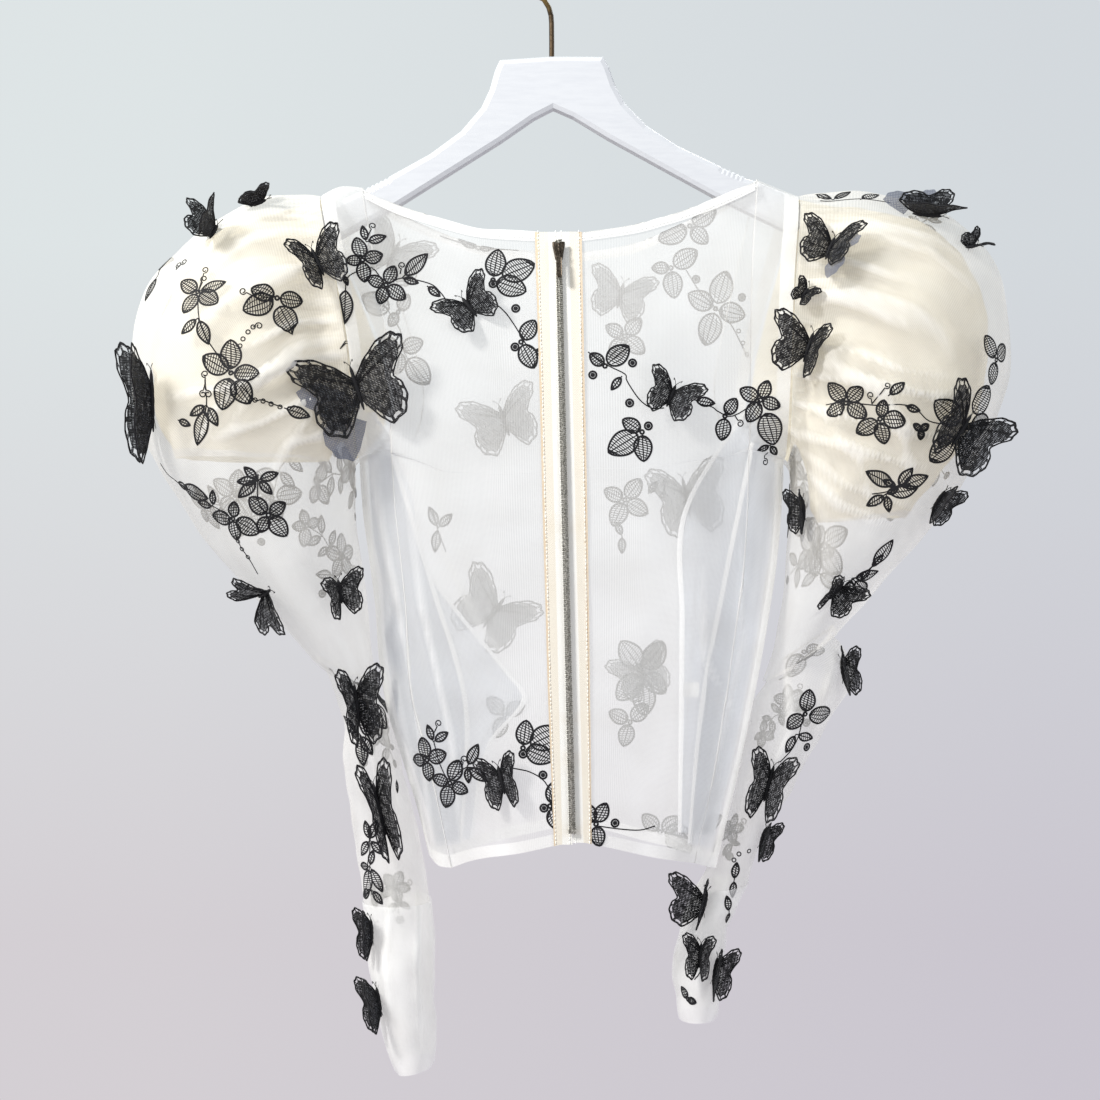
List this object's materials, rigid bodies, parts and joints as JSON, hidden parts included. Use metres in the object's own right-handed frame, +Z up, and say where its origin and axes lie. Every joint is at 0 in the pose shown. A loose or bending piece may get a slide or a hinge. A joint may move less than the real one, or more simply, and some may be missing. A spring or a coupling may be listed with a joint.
{
  "type": "sheer puff sleeve blouse on a hanger",
  "caption": "Sheer white blouse with lined lantern sleeves, black lace butterflies and a zip up the back, hung on a painted wooden hanger.",
  "frame": {"origin": "inside top of the hanger's hook, where it rests on a rail", "axes": "+Z up, -Y is the back of the blouse with the zip, +X to the right when looking at that back"},
  "size_m": [0.6864, 0.1761, 0.8842],
  "materials": {
    "organza": "sheer white organza",
    "binding": "folded organza",
    "lining": "matte cream",
    "embroidery": "black lace thread",
    "zip_tape": "woven",
    "zip_metal": "dark satin",
    "hanger_paint": "white gloss paint",
    "hook_metal": "dark polished",
    "label": "satin"
  },
  "bodies": {
    "blouse": {"back_left": "organza", "back_right": "organza", "binding_back_left": "binding", "binding_back_right": "binding", "binding_front": "binding", "cuff_left": "organza", "cuff_right": "organza", "front": "organza", "hanger": "hanger_paint", "hook": "hook_metal", "moth_armhole_left": "embroidery", "moth_armhole_right": "embroidery", "moth_back_left": "embroidery", "moth_back_low": "embroidery", "moth_back_right": "embroidery", "moth_brow_right": "embroidery", "moth_cap_right": "embroidery", "moth_crown_left": "embroidery", "moth_crown_right": "embroidery", "moth_cuff_high_left": "embroidery", "moth_cuff_high_right": "embroidery", "moth_cuff_left": "embroidery", "moth_cuff_right": "embroidery", "moth_elbow_high_right": "embroidery", "moth_elbow_left": "embroidery", "moth_elbow_right": "embroidery", "moth_fore_left": "embroidery", "moth_fore_low_right": "embroidery", "moth_fore_right": "embroidery", "moth_front_high_left": "embroidery", "moth_front_high_right": "embroidery", "moth_front_left": "embroidery", "moth_front_low_left": "embroidery", "moth_front_low_right": "embroidery", "moth_front_right": "embroidery", "moth_gather_left": "embroidery", "moth_hem_right": "embroidery", "moth_hip_left": "embroidery", "moth_inner_left": "embroidery", "moth_outer_left": "embroidery", "moth_outer_right": "embroidery", "moth_rim_right": "embroidery", "moth_seam_right": "embroidery", "moth_top_left": "embroidery", "moth_under_right": "embroidery", "size_tag": "label", "sleeve_lining_left": "lining", "sleeve_lining_right": "lining", "sleeve_lower_left": "organza", "sleeve_lower_right": "organza", "sleeve_puff_left": "organza", "sleeve_puff_right": "organza", "zip_chain": "zip_metal", "zip_slider": "zip_metal", "zip_tape_left": "zip_tape", "zip_tape_right": "zip_tape"},
    "zip_pull": {"zip_pull": "zip_metal"}
  },
  "joints": [
    {"name": "pull_hinge", "type": "hinge", "parent": "blouse", "child": "zip_pull", "pos_m": [0.00587, -0.03556, -0.24031], "axis": [-0.9998, -0.0054, -0.0184], "range_deg": [0, 160]}
  ]
}
